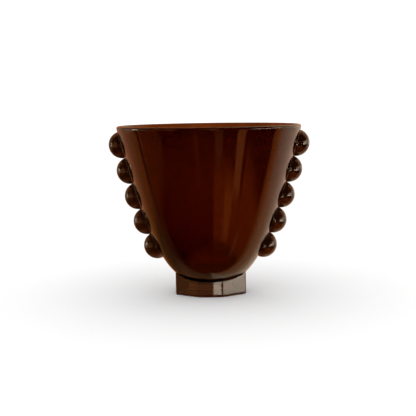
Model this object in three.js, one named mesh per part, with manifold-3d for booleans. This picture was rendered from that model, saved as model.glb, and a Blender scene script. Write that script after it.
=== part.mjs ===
// Pressed-glass vase: a deep flared bowl on a faceted foot, with a column of five half-ball glass
// lobes down its left side and the same down its right side.
// Millimetres, +Z up. The origin is the middle of the foot's underside, +X runs through the right
// lobe column and -Y is the front.

import * as THREE from "three";
import * as BufferGeometryUtils from "three/addons/utils/BufferGeometryUtils.js";
import Module from "manifold-3d";

const wasm = await Module();
wasm.setup();

// ---- Driving dimensions ----

const rimRadius = 98.6;
const lipCornerHeight = 179.4; // where the outer side runs into the rounded lip
const lipThickness = 4.4;

// The bowl's outer side is one cubic curve. It leaves the lip on the line to the shoulder point,
// and runs level into the middle of the bowl's underside along the belly handle.
const shoulderRadius = 62.5;
const shoulderHeight = 49.5;
const bellyHandle = 51;
const bowlUnderside = 10;
const floorThickness = 12;

// The foot is an octagonal block, wider than it is deep: narrow facets face front, back, left and
// right, and a broad facet joins each two of them.
const footHalfWidth = 38.3;
const footHalfDepth = 28.5;
const frontFacetHalfWidth = 12.5;
const sideFacetHalfWidth = 12;
const footEdgeBevel = 1.2;
const footBlankHeight = 32;

const lobeCount = 5;
const lobeRadius = 14.6;
const lobeSink = 0.6; // from the bowl's outer side in to the middle of the lobe's ball
const lobePitch = 28.75; // from one lobe to the next, along the bowl's outer side
const topLobeHeight = 162;

const seamGap = 0.3; // between two neighbouring pieces

const profileSteps = 16;
const lipSteps = 6;
const bowlSegments = 60;
const lobeSegmentsRound = 28;
const lobeSegmentsAlong = 14;
const curveHalvings = 40; // when closing in on a height along the outer side's curve
const lobeSearchStep = 0.0002; // along the same curve, whose whole length is 1

// ---- The bowl's outer side ----

const lipRadius = lipThickness / 2;

// Points are (radius, height above the base).
const outerSide = new THREE.CubicBezierCurve(
  new THREE.Vector2(0, bowlUnderside),
  new THREE.Vector2(bellyHandle, bowlUnderside),
  new THREE.Vector2(shoulderRadius, shoulderHeight),
  new THREE.Vector2(rimRadius, lipCornerHeight),
);

/** The direction square to the bowl's outer side, pointing away from the glass. */
function outwardNormal(t) {
  const tangent = outerSide.getTangent(t);
  return new THREE.Vector2(tangent.y, -tangent.x);
}

/** Points down one side of the wall, pushed out from the bowl's outer side by offset(t). */
function sideProfile(offset) {
  const points = [];
  for (let i = 0; i <= profileSteps; i++) {
    const t = i / profileSteps;
    points.push(outerSide.getPoint(t).addScaledVector(outwardNormal(t), offset(t)));
  }
  points[0].x = 0;
  return points;
}

/** The wall is as thick as the lip at the top and thickens towards the bowl's floor. */
function wallThickness(t) {
  return THREE.MathUtils.lerp(floorThickness, lipThickness, t);
}

/** Points over the half-round lip, from the outer side to the inner one. */
function lipProfile() {
  const outward = outwardNormal(1);
  const centre = outerSide.getPoint(1).addScaledVector(outward, -lipRadius);
  const start = Math.atan2(outward.y, outward.x);
  const points = [];
  for (let i = 1; i < lipSteps; i++) {
    const angle = start + (Math.PI * i) / lipSteps;
    points.push(new THREE.Vector2(
      centre.x + lipRadius * Math.cos(angle),
      centre.y + lipRadius * Math.sin(angle),
    ));
  }
  return points;
}

// ---- Solids ----

/** A lathe about Z from a profile that starts and ends on the axis. */
function lathe(profile) {
  return new THREE.LatheGeometry(profile, bowlSegments).rotateX(Math.PI / 2);
}

/** A closed geometry as a manifold solid. */
function solidFrom(geometry) {
  const bare = geometry.clone();
  bare.deleteAttribute("normal");
  bare.deleteAttribute("uv");
  const merged = BufferGeometryUtils.mergeVertices(bare);
  const corners = merged.index.array;
  const triangles = [];
  for (let i = 0; i < corners.length; i += 3) {
    const [a, b, c] = corners.slice(i, i + 3);
    if (a !== b && b !== c && c !== a) {
      triangles.push(a, b, c);
    }
  }
  return new wasm.Manifold(new wasm.Mesh({
    numProp: 3,
    vertProperties: new Float32Array(merged.attributes.position.array),
    triVerts: new Uint32Array(triangles),
  }));
}

/** A manifold solid as a geometry with flat-shaded faces. */
function geometryFrom(solid) {
  const mesh = solid.getMesh();
  const geometry = new THREE.BufferGeometry();
  const positions = new Float32Array(mesh.vertProperties);
  const corners = new Uint32Array(mesh.triVerts);
  geometry.setAttribute("position", new THREE.BufferAttribute(positions, 3));
  geometry.setIndex(new THREE.BufferAttribute(corners, 1));
  geometry.computeVertexNormals();
  return geometry;
}

/** The bowl's outer shape, solid and grown by the seam gap: the room the other pieces leave. */
function bowlClearance() {
  const side = sideProfile(() => seamGap);
  const rim = new THREE.Vector2(0, side[side.length - 1].y);
  return solidFrom(lathe([...side, rim]));
}

function bowlGeometry() {
  const outer = sideProfile(() => 0);
  const inner = sideProfile((t) => -wallThickness(t)).reverse();
  return lathe([...outer, ...lipProfile(), ...inner]);
}

function footGeometry(clearance) {
  const frontX = frontFacetHalfWidth;
  const frontY = footHalfDepth - footEdgeBevel;
  const sideX = footHalfWidth - footEdgeBevel;
  const sideY = sideFacetHalfWidth;
  const corners = [];
  for (const [x, y] of [[1, 1], [-1, 1], [-1, -1], [1, -1]]) {
    const front = new THREE.Vector2(x * frontX, y * frontY);
    const side = new THREE.Vector2(x * sideX, y * sideY);
    corners.push(...(x * y > 0 ? [side, front] : [front, side]));
  }
  const block = new THREE.ExtrudeGeometry(new THREE.Shape(corners), {
    depth: footBlankHeight,
    bevelThickness: footEdgeBevel,
    bevelSize: footEdgeBevel,
    bevelSegments: 1,
  }).translate(0, 0, footEdgeBevel);
  return geometryFrom(solidFrom(block).subtract(clearance));
}

/** Where along the outer side's curve a given height lies. */
function curvePositionAt(targetHeight) {
  let low = 0;
  let high = 1;
  for (let i = 0; i < curveHalvings; i++) {
    const middle = (low + high) / 2;
    if (outerSide.getPoint(middle).y < targetHeight) {
      low = middle;
    } else {
      high = middle;
    }
  }
  return (low + high) / 2;
}

/** The middles of the lobes' balls on the right side, from the top one down. */
function lobeMiddles() {
  let t = curvePositionAt(topLobeHeight);
  let seat = outerSide.getPoint(t);
  const middles = [];
  for (let i = 0; i < lobeCount; i++) {
    middles.push(seat.clone().addScaledVector(outwardNormal(t), -lobeSink));
    const above = seat;
    while (seat.distanceTo(above) < lobePitch) {
      t -= lobeSearchStep;
      seat = outerSide.getPoint(t);
    }
  }
  return middles;
}

/** One lobe: a ball cut away by the bowl, and cut flat where it meets the lobes above and below. */
function lobeGeometry(middles, index, side, clearance) {
  const middle = middles[index];
  const ball = new THREE.SphereGeometry(lobeRadius, lobeSegmentsRound, lobeSegmentsAlong)
    .translate(side * middle.x, 0, middle.y);
  let lobe = solidFrom(ball).subtract(clearance);
  for (const neighbour of [middles[index - 1], middles[index + 1]]) {
    if (neighbour) {
      const kept = middle.clone().sub(neighbour).normalize();
      const halfway = middle.clone().lerp(neighbour, 0.5).dot(kept);
      lobe = lobe.trimByPlane([side * kept.x, 0, kept.y], halfway + seamGap / 2);
    }
  }
  return geometryFrom(lobe);
}

// ---- Assembly ----

function glass(name, colour) {
  return new THREE.MeshStandardMaterial({ name, color: colour, roughness: 0.08, metalness: 0 });
}

function piece(name, geometry, material) {
  const mesh = new THREE.Mesh(geometry, material);
  mesh.name = name;
  return mesh;
}

const vase = new THREE.Group();
const clearance = bowlClearance();

vase.add(piece("bowl", bowlGeometry(), glass("bowl_glass", 0x3a1208)));
vase.add(piece("foot", footGeometry(clearance), glass("foot_glass", 0x5a3220)));

const middles = lobeMiddles();
for (const [sideName, side] of [["left", -1], ["right", 1]]) {
  for (let index = 0; index < lobeCount; index++) {
    const name = `${sideName}_lobe_${index + 1}`;
    const geometry = lobeGeometry(middles, index, side, clearance);
    vase.add(piece(name, geometry, glass("lobe_glass", 0x46301c)));
  }
}

export default vase;
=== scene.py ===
"""Dark amber pressed-glass vase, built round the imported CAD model. Metres, +Z up, -Y is the front."""

import math

import bmesh
import bpy
from mathutils import Euler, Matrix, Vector


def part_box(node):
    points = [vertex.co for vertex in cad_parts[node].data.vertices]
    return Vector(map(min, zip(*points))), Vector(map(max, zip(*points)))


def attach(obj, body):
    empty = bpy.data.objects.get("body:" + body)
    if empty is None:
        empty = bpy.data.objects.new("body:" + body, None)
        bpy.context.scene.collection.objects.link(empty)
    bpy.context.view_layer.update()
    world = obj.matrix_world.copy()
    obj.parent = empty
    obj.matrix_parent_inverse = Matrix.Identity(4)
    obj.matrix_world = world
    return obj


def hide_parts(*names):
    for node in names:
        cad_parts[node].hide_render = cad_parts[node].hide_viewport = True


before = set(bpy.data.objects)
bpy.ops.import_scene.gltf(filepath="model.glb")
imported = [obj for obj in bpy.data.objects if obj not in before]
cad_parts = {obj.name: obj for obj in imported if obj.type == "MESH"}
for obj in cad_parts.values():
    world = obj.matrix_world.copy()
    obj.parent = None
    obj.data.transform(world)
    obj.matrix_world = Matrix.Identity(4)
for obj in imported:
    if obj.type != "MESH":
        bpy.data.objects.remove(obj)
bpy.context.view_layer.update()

# ---- Driving dimensions, in metres ----

BOWL_LOW, BOWL_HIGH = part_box("bowl")
FOOT_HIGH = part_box("foot")[1]

RIM_RADIUS = BOWL_HIGH[0]
LIP_THICKNESS = 0.0044
LIP_RADIUS = LIP_THICKNESS / 2
FLOOR_THICKNESS = 0.012
UNDERSIDE = BOWL_LOW[2]
LIP_CORNER_HEIGHT = BOWL_HIGH[2] - 0.0027  # where the outer side runs into the rounded lip

# The bowl's outer side is one cubic curve of (radius, height) points, as in the CAD model.
OUTER_SIDE = (
    Vector((0.0, UNDERSIDE)),
    Vector((0.051, UNDERSIDE)),
    Vector((0.0625, 0.0495)),
    Vector((RIM_RADIUS, LIP_CORNER_HEIGHT)),
)

FOOT_HALF_WIDTH = FOOT_HIGH[0]
FOOT_HALF_DEPTH = FOOT_HIGH[1]
FRONT_FACET_HALF_WIDTH = 0.0125
SIDE_FACET_HALF_WIDTH = 0.012
FACET_CROWN = 0.0004  # how far a facet's middle stands out
CORNER_TRIM = 0.0016  # taken off each end of a facet for the rounded corner
BASE_BEVEL = 0.0012

LOBE_RADIUS = 0.0146
LOBE_TRIM = 0.0001  # from a lobe to the plane halfway to its neighbour
NEIGHBOUR_REACH = 2.5 * LOBE_RADIUS  # past one lobe pitch and short of two
SEAM_GAP = 0.0002  # between a lobe and the bowl
FOOT_SINK = 0.0002  # of the foot into the bowl, whose glass it is fused with

CREASE_ANGLE = math.radians(40)
PROFILE_STEPS = 96
LIP_STEPS = 12
ROUND_STEPS = 192
LOBE_ROUND_STEPS = 64
LOBE_DOME_STEPS = 24
LOBE_BACK_STEPS = 6
LOBE_SEAM_ANGLES = (50, 120)  # degrees from the lobe's axis, wide enough to hold every seam
FACET_STEPS = 16
CORNER_STEPS = 6
BASE_STEPS = 5
BEVEL_STEPS = 5
FOOT_SIDE_STEPS = 8
FOOT_DISH_STEPS = 12
SIDE_SAMPLE_STEPS = 600
HALVINGS = 30
SEAM_HALVINGS = 14


# ---- Mesh helpers ----


def new_object(name, vertices, faces):
    """A smooth-shaded mesh object that keeps its sharp creases, with its faces turned outward."""
    mesh = bpy.data.meshes.new(name)
    mesh.from_pydata([tuple(v) for v in vertices], [], faces)
    shape = bmesh.new()
    shape.from_mesh(mesh)
    bmesh.ops.recalc_face_normals(shape, faces=shape.faces)
    for face in shape.faces:
        face.smooth = True
    for edge in shape.edges:
        edge.smooth = edge.calc_face_angle(0.0) < CREASE_ANGLE
    shape.to_mesh(mesh)
    shape.free()
    made = bpy.data.objects.new(name, mesh)
    bpy.context.scene.collection.objects.link(made)
    return made


def stacked_rings(name, start, rings, end):
    """A closed body from one end point, a stack of equal-sized rings and the other end point."""
    size = len(rings[0])
    vertices = [start]
    for ring in rings:
        vertices.extend(ring)
    vertices.append(end)
    last = len(vertices) - 1
    top = last - size
    faces = []
    for k in range(size):
        following = (k + 1) % size
        faces.append((0, 1 + following, 1 + k))
        for level in range(len(rings) - 1):
            low = 1 + level * size
            high = low + size
            faces.append((low + k, low + following, high + following, high + k))
        faces.append((top + k, top + following, last))
    return new_object(name, vertices, faces)


# ---- The bowl's side ----


def side_point(t):
    """The (radius, height) point at t on the outer side, and the direction out of the glass there."""
    a, b, c, d = OUTER_SIDE
    s = 1 - t
    place = a * s**3 + b * (3 * s * s * t) + c * (3 * s * t * t) + d * t**3
    along = ((b - a) * (s * s) + (c - b) * (2 * s * t) + (d - c) * (t * t)).normalized()
    return place, Vector((along.y, -along.x))


SIDE_SAMPLES = [side_point(i / SIDE_SAMPLE_STEPS) for i in range(SIDE_SAMPLE_STEPS + 1)]


def nearest_side(radius, height):
    """The way out of the glass nearest to a (radius, height) point, and how far outside it is."""
    point = Vector((radius, height))
    place, outward = min(SIDE_SAMPLES, key=lambda sample: (sample[0] - point).length_squared)
    return outward, (point - place).dot(outward)


def clearance(point):
    """How far a point in space is outside the bowl's outer side."""
    return nearest_side(math.hypot(point.x, point.y), point.z)[1]


def underside_height(radius):
    """The height of the bowl's outer side at a radius."""
    low, high = 0.0, 1.0
    for _ in range(HALVINGS):
        middle = (low + high) / 2
        if side_point(middle)[0].x < radius:
            low = middle
        else:
            high = middle
    return side_point(low)[0].y


def wall_thickness(t):
    """The wall thins evenly from the floor to the lip."""
    return FLOOR_THICKNESS + (LIP_THICKNESS - FLOOR_THICKNESS) * t


def bowl_profile():
    """(radius, height) points up the outer side, over the lip and down to the inner floor."""
    outer = []
    inner = []
    for i in range(PROFILE_STEPS + 1):
        t = i / PROFILE_STEPS
        place, outward = side_point(t)
        outer.append(place)
        inner.append(place - outward * wall_thickness(t))
    place, outward = side_point(1.0)
    centre = place - outward * LIP_RADIUS
    start = math.atan2(outward.y, outward.x)
    lip = []
    for i in range(1, LIP_STEPS):
        angle = start + math.pi * i / LIP_STEPS
        lip.append(centre + Vector((math.cos(angle), math.sin(angle))) * LIP_RADIUS)
    return outer + lip + inner[::-1]


# ---- Pieces ----


def make_bowl():
    profile = bowl_profile()
    rings = []
    for point in profile[1:-1]:
        ring = []
        for k in range(ROUND_STEPS):
            angle = 2 * math.pi * k / ROUND_STEPS
            ring.append(Vector((point.x * math.cos(angle), point.x * math.sin(angle), point.y)))
        rings.append(ring)
    underside = Vector((0, 0, profile[0].y))
    inner_floor = Vector((0, 0, profile[-1].y))
    return stacked_rings("bowl_glass_body", underside, rings, inner_floor)


def foot_outline():
    """The foot's plan: eight gently crowned facets joined by small rounded corners."""
    front = Vector((FRONT_FACET_HALF_WIDTH, -FOOT_HALF_DEPTH))
    side = Vector((FOOT_HALF_WIDTH, -SIDE_FACET_HALF_WIDTH))
    corners = []
    for x, y in ((1, 1), (1, -1), (-1, -1), (-1, 1)):
        pair = (front, side) if x == y else (side, front)
        corners.extend(Vector((x * point.x, y * point.y)) for point in pair)
    facets = []
    for i, begin in enumerate(corners):
        finish = corners[(i + 1) % len(corners)]
        along = (finish - begin).normalized()
        outward = Vector((along.y, -along.x))
        begin = begin + along * CORNER_TRIM
        finish = finish - along * CORNER_TRIM
        points = []
        for step in range(FACET_STEPS + 1):
            share = step / FACET_STEPS
            sag = FACET_CROWN * (2 * share - 1) ** 2
            points.append(begin.lerp(finish, share) - outward * sag)
        facets.append(points)
    outline = []
    for i, points in enumerate(facets):
        outline.extend(points)
        corner = corners[(i + 1) % len(corners)]
        corner = corner - corner.normalized() * FACET_CROWN
        begin = points[-1]
        finish = facets[(i + 1) % len(facets)][0]
        for step in range(1, CORNER_STEPS):
            share = step / CORNER_STEPS
            outline.append(begin.lerp(corner, share).lerp(corner.lerp(finish, share), share))
    return outline


def make_foot():
    """The foot's block, from the middle of its flat base, up its sides and over its dished top."""
    outline = foot_outline()

    def dish_height(point):
        return underside_height(point.length) + FOOT_SINK

    rings = []
    for step in range(1, BASE_STEPS):
        rings.append([(p * (step / BASE_STEPS)).to_3d() for p in outline])
    for step in range(BEVEL_STEPS + 1):
        angle = math.pi / 2 * step / BEVEL_STEPS
        inset = BASE_BEVEL * (1 - math.sin(angle))
        height = BASE_BEVEL * (1 - math.cos(angle))
        rings.append([(p - p.normalized() * inset).to_3d() + Vector((0, 0, height)) for p in outline])
    tops = [dish_height(p) for p in outline]
    for step in range(1, FOOT_SIDE_STEPS + 1):
        share = step / FOOT_SIDE_STEPS
        heights = [BASE_BEVEL + (top - BASE_BEVEL) * share for top in tops]
        rings.append([Vector((p.x, p.y, height)) for p, height in zip(outline, heights)])
    for step in range(FOOT_DISH_STEPS - 1, 0, -1):
        shrunk = [p * (step / FOOT_DISH_STEPS) for p in outline]
        rings.append([Vector((p.x, p.y, dish_height(p))) for p in shrunk])
    return stacked_rings("foot_block", Vector((0, 0, 0)), rings, Vector((0, 0, UNDERSIDE + FOOT_SINK)))


LOBE_NODES = sorted(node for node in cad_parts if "lobe" in node)


def lobe_centre(node):
    """The middle of the ball that a lobe is cut from."""
    low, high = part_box(node)
    side = 1 if high[0] > 0 else -1
    reach = max(abs(low[0]), abs(high[0]))
    return Vector((side * (reach - LOBE_RADIUS), 0, low[2] + LOBE_RADIUS))


def trimmed(point, centre, neighbours):
    """The point, pressed back where it passes the flat seam with a neighbouring lobe."""
    for neighbour in neighbours:
        toward = (neighbour - centre).normalized()
        limit = (neighbour - centre).length / 2 - LOBE_TRIM
        point = point - toward * max((point - centre).dot(toward) - limit, 0)
    return point


def make_lobe(node):
    """A half ball of glass that sits on the bowl's side and meets the lobes above and below.

    Its points carry two facts for the material: root_depth, from 0 at the lobe's outermost point to
    1 at the bowl, and disc_radius, the distance from the ball's middle as seen from the front.
    """
    centre = lobe_centre(node)
    neighbours = [lobe_centre(other) for other in LOBE_NODES if other != node]
    neighbours = [other for other in neighbours if (other - centre).length < NEIGHBOUR_REACH]
    side = math.copysign(1, centre.x)
    outward = nearest_side(abs(centre.x), centre.z)[0]
    axis = Vector((side * outward.x, 0, outward.y))
    uphill = Vector((-side * outward.y, 0, outward.x))
    across = Vector((0, 1, 0))

    def dome_point(spoke, angle):
        point = centre + (axis * math.cos(angle) + spoke * math.sin(angle)) * LOBE_RADIUS
        return trimmed(point, centre, neighbours)

    spokes = []
    for k in range(LOBE_ROUND_STEPS):
        turn = 2 * math.pi * k / LOBE_ROUND_STEPS
        spoke = uphill * math.cos(turn) + across * math.sin(turn)
        low_angle, high_angle = (math.radians(angle) for angle in LOBE_SEAM_ANGLES)
        for _ in range(SEAM_HALVINGS):
            angle = (low_angle + high_angle) / 2
            if clearance(dome_point(spoke, angle)) > SEAM_GAP:
                low_angle = angle
            else:
                high_angle = angle
        spokes.append((spoke, low_angle))

    rings = []
    for step in range(1, LOBE_DOME_STEPS + 1):
        share = step / LOBE_DOME_STEPS
        rings.append([dome_point(spoke, seam * share) for spoke, seam in spokes])
    back = centre + axis * (SEAM_GAP - clearance(centre))
    seam_ring = rings[-1]
    for step in range(LOBE_BACK_STEPS - 1, 0, -1):
        ring = []
        for point in seam_ring:
            flat = back.lerp(point, step / LOBE_BACK_STEPS)
            ring.append(flat + axis * (SEAM_GAP - clearance(flat)))
        rings.append(ring)
    piece = stacked_rings(node + "_glass", centre + axis * LOBE_RADIUS, rings, back)
    root_depth = piece.data.attributes.new("root_depth", "FLOAT", "POINT")
    disc_radius = piece.data.attributes.new("disc_radius", "FLOAT", "POINT")
    for vertex in piece.data.vertices:
        offset = vertex.co - centre
        root_depth.data[vertex.index].value = 1 - max(clearance(vertex.co), 0) / LOBE_RADIUS
        disc_radius.data[vertex.index].value = math.hypot(offset.x, offset.z) / LOBE_RADIUS
    return piece


# ---- Materials ----

WHITE = (1, 1, 1)
# The bowl's glass is coloured darker towards the rim.
RIM_DARKENING = (0.28, 0.135, 0.065)
GLASS_IOR = 1.52
DARKENING_FULL_HEIGHT = BOWL_HIGH[2] * 1.1
RAGGED_EDGE_SCALE = 22.0
RAGGED_EDGE_HEIGHT = 0.03  # how far the noise carries the darkening at the rim down, giving it a ragged edge
SMEAR_SCALE = 60.0
SMEAR_ROUGHNESS = 0.03
WORN_ROUGHNESS = 0.25  # at the edge that the vase stands on
WAVE_STRETCH = (1, 1, 0.3)  # draws the waves out upward
RIPPLE_RATE = 45.0  # radians across a lobe's radius
RIPPLE_SHARE = 0.2  # of the wave depth


def linked(tree, kind, **inputs):
    """A new node whose named inputs are set to values or linked from other nodes' outputs."""
    node = tree.nodes.new(kind)
    for name, value in inputs.items():
        socket = node.inputs[name.replace("_", " ")]
        if isinstance(value, bpy.types.NodeSocket):
            tree.links.new(value, socket)
        else:
            socket.default_value = value
    return node


def mapped(tree, value, from_low, from_high, to_low, to_high):
    """A value carried from one range to another, held at the ends."""
    node = tree.nodes.new("ShaderNodeMapRange")
    tree.links.new(value, node.inputs["Value"])
    node.inputs["From Min"].default_value = from_low
    node.inputs["From Max"].default_value = from_high
    node.inputs["To Min"].default_value = to_low
    node.inputs["To Max"].default_value = to_high
    return node.outputs["Result"]


def calculated(tree, operation, *values):
    """The output of a Math node whose inputs are values or other nodes' outputs."""
    node = tree.nodes.new("ShaderNodeMath")
    node.operation = operation
    for socket, value in zip(node.inputs, values):
        if isinstance(value, bpy.types.NodeSocket):
            tree.links.new(value, socket)
        else:
            socket.default_value = value
    return node.outputs[0]


def attribute(tree, name):
    """A fact that the mesh's points carry."""
    node = tree.nodes.new("ShaderNodeAttribute")
    node.attribute_name = name
    return node.outputs["Fac"]


def glass_material(
    name, depth_colour, per_metre, upper_darkening, worn_height, wave_size, wave_depth, painted_seam_shade=None
):
    """Solid glass that darkens with depth, with a tint, waves, smears in its gloss and a worn base.

    The colour ramp darkens the glass towards the rim, or, where a painted seam shade is given, lays painted
    shade on a lobe towards the bowl instead.
    """
    material = bpy.data.materials.new(name)
    material.use_nodes = True
    tree = material.node_tree
    shader = tree.nodes["Principled BSDF"]
    shader.inputs["Transmission Weight"].default_value = 1.0
    shader.inputs["IOR"].default_value = GLASS_IOR

    place = tree.nodes.new("ShaderNodeNewGeometry").outputs["Position"]
    height = linked(tree, "ShaderNodeSeparateXYZ", Vector=place).outputs["Z"]

    # Painted shade: a lobe's colour darkens towards its seam with the bowl.
    if painted_seam_shade:
        depth = attribute(tree, "root_depth")
        stops = ((0.40, WHITE), (0.95, painted_seam_shade))
    else:
        # The glass is coloured darker towards the rim, its edge made ragged by noise.
        ragged_edge = linked(tree, "ShaderNodeTexNoise", Vector=place, Scale=RAGGED_EDGE_SCALE, Detail=3.0)
        uneven = calculated(tree, "MULTIPLY_ADD", ragged_edge.outputs["Fac"], RAGGED_EDGE_HEIGHT, height)
        depth = mapped(tree, uneven, 0.0, DARKENING_FULL_HEIGHT, 0.0, 1.0)
        stops = ((0.30, WHITE), (0.92, upper_darkening), (0.98, RIM_DARKENING))
    darkening_ramp = linked(tree, "ShaderNodeValToRGB", Fac=depth)
    ramp = darkening_ramp.color_ramp.elements
    ramp.new(0.5)
    for stop, (position, colour) in zip(ramp, (*stops, stops[-1])):
        stop.position = position
        stop.color = (*colour, 1)
    tree.links.new(darkening_ramp.outputs["Color"], shader.inputs["Base Color"])

    smears = linked(tree, "ShaderNodeTexNoise", Vector=place, Scale=SMEAR_SCALE, Detail=5.0)
    gloss = mapped(tree, smears.outputs["Fac"], 0.45, 0.75, 0.0, SMEAR_ROUGHNESS)
    worn = mapped(tree, height, worn_height, 0.0, 0.0, WORN_ROUGHNESS)
    tree.links.new(calculated(tree, "ADD", gloss, worn), shader.inputs["Roughness"])

    drawn_out = linked(tree, "ShaderNodeVectorMath")
    drawn_out.operation = "MULTIPLY"
    tree.links.new(place, drawn_out.inputs[0])
    drawn_out.inputs[1].default_value = WAVE_STRETCH
    waves = linked(tree, "ShaderNodeTexNoise", Vector=drawn_out.outputs[0], Scale=1 / wave_size, Detail=2.0)
    relief = waves.outputs["Fac"]
    if painted_seam_shade:
        turns = calculated(tree, "MULTIPLY_ADD", attribute(tree, "disc_radius"), RIPPLE_RATE, relief)
        relief = calculated(tree, "MULTIPLY_ADD", calculated(tree, "SINE", turns), RIPPLE_SHARE, relief)
    bump = linked(tree, "ShaderNodeBump", Strength=1.0, Distance=wave_depth, Height=relief)
    tree.links.new(bump.outputs["Normal"], shader.inputs["Normal"])

    absorb = tree.nodes.new("ShaderNodeVolumeAbsorption")
    absorb.inputs["Color"].default_value = (*depth_colour, 1)
    absorb.inputs["Density"].default_value = per_metre
    tree.links.new(absorb.outputs["Volume"], tree.nodes["Material Output"].inputs["Volume"])
    return material


bowl_glass = glass_material(
    "bowl_glass",
    depth_colour=(0.686, 0.385, 0.0),
    per_metre=700.0,
    upper_darkening=(0.40, 0.24, 0.13),
    worn_height=0.001,
    wave_size=0.03,
    wave_depth=0.0002,
)
foot_glass = glass_material(
    "foot_glass",
    depth_colour=(0.63, 0.47, 0.33),
    per_metre=150.0,
    upper_darkening=WHITE,
    worn_height=0.003,
    wave_size=0.02,
    wave_depth=0.0002,
)
lobe_glass = glass_material(
    "lobe_glass",
    depth_colour=(0.52, 0.345, 0.17),
    per_metre=310.0,
    upper_darkening=WHITE,
    worn_height=0.001,
    wave_size=0.006,
    wave_depth=0.0002,
    # painted shade on each lobe where it meets the bowl
    painted_seam_shade=(0.45, 0.35, 0.28),
)


def dress(piece, node, material):
    """Gives a piece its glass and lets it stand for a CAD node."""
    piece.data.materials.append(material)
    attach(piece, "root")
    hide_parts(node)


dress(make_bowl(), "bowl", bowl_glass)
dress(make_foot(), "foot", foot_glass)
for node in LOBE_NODES:
    dress(make_lobe(node), node, lobe_glass)

# ---- Camera ----

CAMERA_PLACE = Vector((0.0069, -0.9491, 0.2064))
CAMERA_PAN = math.radians(0.54)
CAMERA_TILT = math.radians(6.84)
CAMERA_ROLL = math.radians(-0.80)
LENS = 76.4

camera = bpy.data.objects.new("camera", bpy.data.cameras.new("camera"))
bpy.context.scene.collection.objects.link(camera)
camera.data.lens = LENS
camera.data.sensor_width = 36.0
camera.location = CAMERA_PLACE
look = Euler((math.pi / 2 - CAMERA_TILT, 0, CAMERA_PAN)).to_matrix()
camera.rotation_euler = (look @ Euler((0, 0, CAMERA_ROLL)).to_matrix()).to_euler()
bpy.context.scene.camera = camera

# ---- Studio ----

FLOOR_HALF_WIDTH = 6.0
SURROUND = (1.2, 1.2, 1.2, 1)  # the plain white room, which all but the glass's own gloss sees

scene = bpy.context.scene
scene.view_settings.view_transform = "Standard"

reach = FLOOR_HALF_WIDTH
corners = [(-reach, -reach, 0), (reach, -reach, 0), (reach, reach, 0), (-reach, reach, 0)]
floor = new_object("floor", corners, [(0, 1, 2, 3)])
floor_material = bpy.data.materials.new("floor")
floor_material.use_nodes = True
floor_shader = floor_material.node_tree.nodes["Principled BSDF"]
floor_shader.inputs["Base Color"].default_value = (0.9, 0.9, 0.9, 1)
floor_shader.inputs["Roughness"].default_value = 0.9
floor_shader.inputs["Specular IOR Level"].default_value = 0.0
floor.data.materials.append(floor_material)
floor.visible_glossy = False

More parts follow.
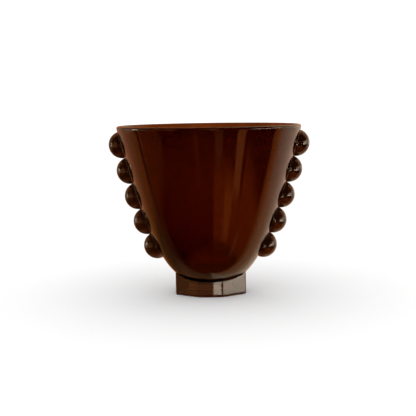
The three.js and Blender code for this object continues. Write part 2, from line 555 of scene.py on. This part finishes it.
# The cards that the polished glass reflects: degrees round the vase from the front, positive to the
# right, then degrees up from level, soft edge in degrees, and colour. A later card covers an earlier
# one, and all else is dark.
CARDS = (
    ((95, 200), (-100, 100), 3, (0.30, 0.13, 0.05)),
    ((-200, -96), (-100, 100), 2, (0.20, 0.075, 0.022)),
    ((-200, -94), (-25, 100), 3, (0.48, 0.14, 0.03)),
    ((-200, -110), (-17, 100), 4, (0.60, 0.22, 0.10)),
    ((-200, -102), (-100, -46), 5, (0.40, 0.145, 0.062)),
    ((-107, -101), (-50, 0), 1, (0.06, 0.03, 0.01)),
    ((-98, -67), (-30, 0), 2, (0.27, 0.055, 0.005)),
    ((-20, -15), (-37, -30), 1, (0.30, 0.06, 0.005)),
    ((7, 95), (-100, -52), 2, (0.15, 0.045, 0.004)),
    ((7, 95), (-52, -35.5), 2, (0.58, 0.085, 0.007)),
    ((55, 95), (-52, -31), 2, (0.58, 0.085, 0.007)),
    ((8, 20), (-35.5, -16), 1, (0.30, 0.09, 0.03)),
    ((39, 50), (-36.5, -16), 1, (0.98, 0.28, 0.07)),
    ((26, 40), (-50, -36.5), 2, (1.05, 0.22, 0.025)),
    ((60, 65), (-62, -43), 1, (0.84, 0.23, 0.05)),
    ((95, 172), (-100, 100), 3, (0.80, 0.20, 0.03)),
    ((104, 172), (-100, 100), 5, (0.92, 0.38, 0.18)),
    ((134, 170), (-100, 100), 12, (0.92, 0.65, 0.44)),
    ((108, 172), (-21, -5), 6, (0.92, 0.58, 0.42)),
    ((-150, -96), (-9, 12), 3, (0.50, 0.33, 0.23)),
    ((96, 150), (-9, 12), 3, (0.75, 0.60, 0.47)),
    ((-100, 95), (-100, -57), 4, (0.36, 0.035, 0.001)),
    ((-74, -40), (-15, 20), 2, (0.80, 0.28, 0.09)),
    ((-125, -78), (-13, 9), 3, (0.8, 0.55, 0.38)),
    ((-108, -96), (-11, 9), 2, (4.8, 3.8, 3.0)),
    ((60, 150), (-7, 10), 4, (1.5, 1.05, 0.75)),
    ((-12, 12), (-14, 20), 2, (0.70, 0.24, 0.09)),
    ((1.5, 8), (-14, -4), 1, (6.0, 4.8, 3.6)),
    ((52, 82), (-14, -4), 3, (5.9, 4.8, 3.8)),
    ((84, 100), (-8, 9), 4, (3.6, 2.9, 2.3)),
)


def inside_range(tree, angle, span, soft):
    """One where an angle in degrees is inside a span, falling to zero over its soft edge."""
    middle = (span[0] + span[1]) / 2
    half = (span[1] - span[0]) / 2
    distance = calculated(tree, "ABSOLUTE", calculated(tree, "SUBTRACT", angle, middle))
    return mapped(tree, distance, half + soft, half - soft, 0.0, 1.0)


def mixed(tree, share, first, second):
    """The first colour at a share of zero, and the second at one."""
    node = tree.nodes.new("ShaderNodeMix")
    node.data_type = "RGBA"
    for socket, value in zip((node.inputs[0], node.inputs[6], node.inputs[7]), (share, first, second)):
        if isinstance(value, bpy.types.NodeSocket):
            tree.links.new(value, socket)
        else:
            socket.default_value = value
    return node.outputs[2]


world = bpy.data.worlds.new("world")
scene.world = world
world.use_nodes = True
world.cycles.sampling_method = "NONE"
tree = world.node_tree
direction = tree.nodes.new("ShaderNodeTexCoord").outputs["Generated"]
parts = linked(tree, "ShaderNodeSeparateXYZ", Vector=direction).outputs
forward = calculated(tree, "MULTIPLY", parts["Y"], -1.0)
around = calculated(tree, "DEGREES", calculated(tree, "ARCTAN2", parts["X"], forward))
above = calculated(tree, "DEGREES", calculated(tree, "ARCSINE", parts["Z"]))
studio = (0, 0, 0, 1)
for turn, rise, soft, colour in CARDS:
    lit = calculated(
        tree, "MULTIPLY", inside_range(tree, around, turn, soft), inside_range(tree, above, rise, soft)
    )
    studio = mixed(tree, lit, studio, (*colour, 1))
rays = tree.nodes.new("ShaderNodeLightPath").outputs
gloss_only = calculated(tree, "MULTIPLY", rays["Is Glossy Ray"], rays["Is Reflection Ray"])
backdrop = mixed(tree, gloss_only, SURROUND, studio)
tree.links.new(backdrop, tree.nodes["Background"].inputs["Color"])
